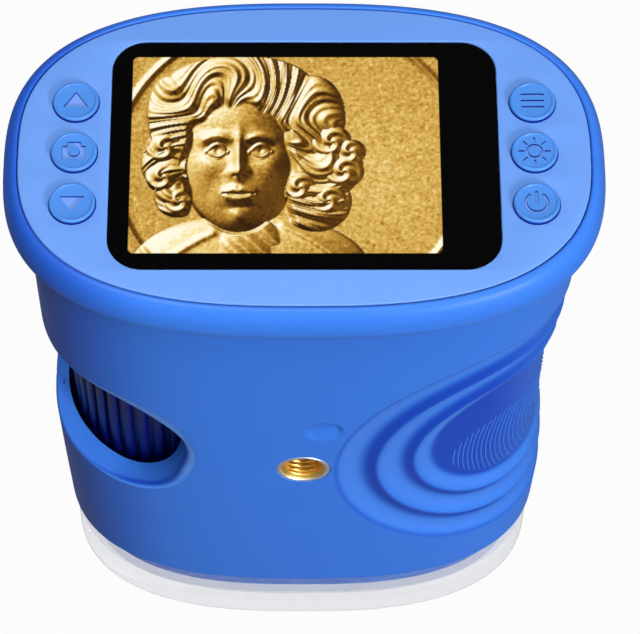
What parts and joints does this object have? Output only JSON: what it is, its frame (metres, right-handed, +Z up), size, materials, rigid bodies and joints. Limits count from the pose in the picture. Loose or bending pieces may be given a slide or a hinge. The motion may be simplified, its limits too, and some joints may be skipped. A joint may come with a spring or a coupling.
{
  "type": "digital microscope",
  "caption": "Hand-held digital microscope with a display on top, six keys, a ribbed focus wheel in a thumb slot, a rippled grip and a clear base.",
  "frame": {"origin": "middle of the box's bottom, on the plane the clear base stands on", "axes": "+Z up through the display, -Y towards the front with the tripod thread, +X to the grip side on the right, -X to the focus wheel"},
  "size_m": [0.0956, 0.0606, 0.1207],
  "materials": {
    "shell": "satin blue moulded plastic with a fine spark-eroded grain",
    "plate": "satin light blue moulded plastic",
    "key": "satin light blue moulded plastic with an engraved icon",
    "window": "polished black glass-like window, clear over the picture",
    "lcd": "liquid crystal cell",
    "wheel": "dark navy moulded plastic, satin, with moulded ribs",
    "inner_plastic": "natural white moulded plastic",
    "switch_plastic": "ivory plastic",
    "barrel": "matt black against stray light",
    "lens_glass": "polished coated glass",
    "ring_metal": "turned",
    "bright_metal": "tinned pressed steel",
    "screw": "zinc plated",
    "brass": "turned brass with a bright face",
    "circuit_board": "green solder resist",
    "chip": "black moulded package",
    "battery_foil": "wrapped foil pouch",
    "lamp": "yellow phosphor under clear resin",
    "clear_plastic": "clear moulded acrylic, polished"
  },
  "bodies": {
    "root": {"face_plate": "plate", "screen_window": "window", "lcd_panel": "lcd", "lcd_tray": "bright_metal", "tact_switches": "bright_metal", "main_board": "circuit_board", "processor": "chip", "usb_socket": "bright_metal", "card_socket": "bright_metal", "board_screws": "screw", "front_housing": "shell", "rear_housing": "shell", "housing_screws": "screw", "tripod_insert": "brass", "battery": "battery_foil", "upper_deck": "inner_plastic", "lower_deck": "inner_plastic", "deck_screws": "screw", "sensor_shroud": "barrel", "sensor_board": "circuit_board", "image_sensor": "chip", "led_board": "circuit_board", "leds": "lamp", "bottom_cover": "shell", "cover_screws": "screw", "clear_base": "clear_plastic"},
    "key_up": {"button_up": "key", "plunger_up": "switch_plastic"},
    "key_camera": {"button_camera": "key", "plunger_camera": "switch_plastic"},
    "key_down": {"button_down": "key", "plunger_down": "switch_plastic"},
    "key_menu": {"button_menu": "key", "plunger_menu": "switch_plastic"},
    "key_light": {"button_light": "key", "plunger_light": "switch_plastic"},
    "key_power": {"button_power": "key", "plunger_power": "switch_plastic"},
    "wheel": {"focus_wheel": "wheel"},
    "barrel": {"lens_barrel": "barrel", "objective_lens": "lens_glass", "lens_retainer": "ring_metal", "tube_lens": "lens_glass"}
  },
  "joints": [
    {"name": "up_press", "type": "slide", "parent": "root", "child": "key_up", "axis": [0, 0, -1], "range_m": [0, 0.0006], "stiffness_N_per_m": 500},
    {"name": "camera_press", "type": "slide", "parent": "root", "child": "key_camera", "axis": [0, 0, -1], "range_m": [0, 0.0006], "stiffness_N_per_m": 500},
    {"name": "down_press", "type": "slide", "parent": "root", "child": "key_down", "axis": [0, 0, -1], "range_m": [0, 0.0006], "stiffness_N_per_m": 500},
    {"name": "menu_press", "type": "slide", "parent": "root", "child": "key_menu", "axis": [0, 0, -1], "range_m": [0, 0.0006], "stiffness_N_per_m": 500},
    {"name": "light_press", "type": "slide", "parent": "root", "child": "key_light", "axis": [0, 0, -1], "range_m": [0, 0.0006], "stiffness_N_per_m": 500},
    {"name": "power_press", "type": "slide", "parent": "root", "child": "key_power", "axis": [0, 0, -1], "range_m": [0, 0.0006], "stiffness_N_per_m": 500},
    {"name": "focus_turn", "type": "hinge", "parent": "root", "child": "wheel", "pos_m": [-0.022, 0, 0.0643], "axis": [0, 0, 1], "range_deg": [-300, 300]},
    {"name": "lens_travel", "type": "slide", "parent": "root", "child": "barrel", "axis": [0, 0, 1], "range_m": [-0.0025, 0.0025]}
  ],
  "couplings": [
    {"joint": "focus_turn", "follows": "lens_travel", "rad_per_m": 2094.4}
  ]
}
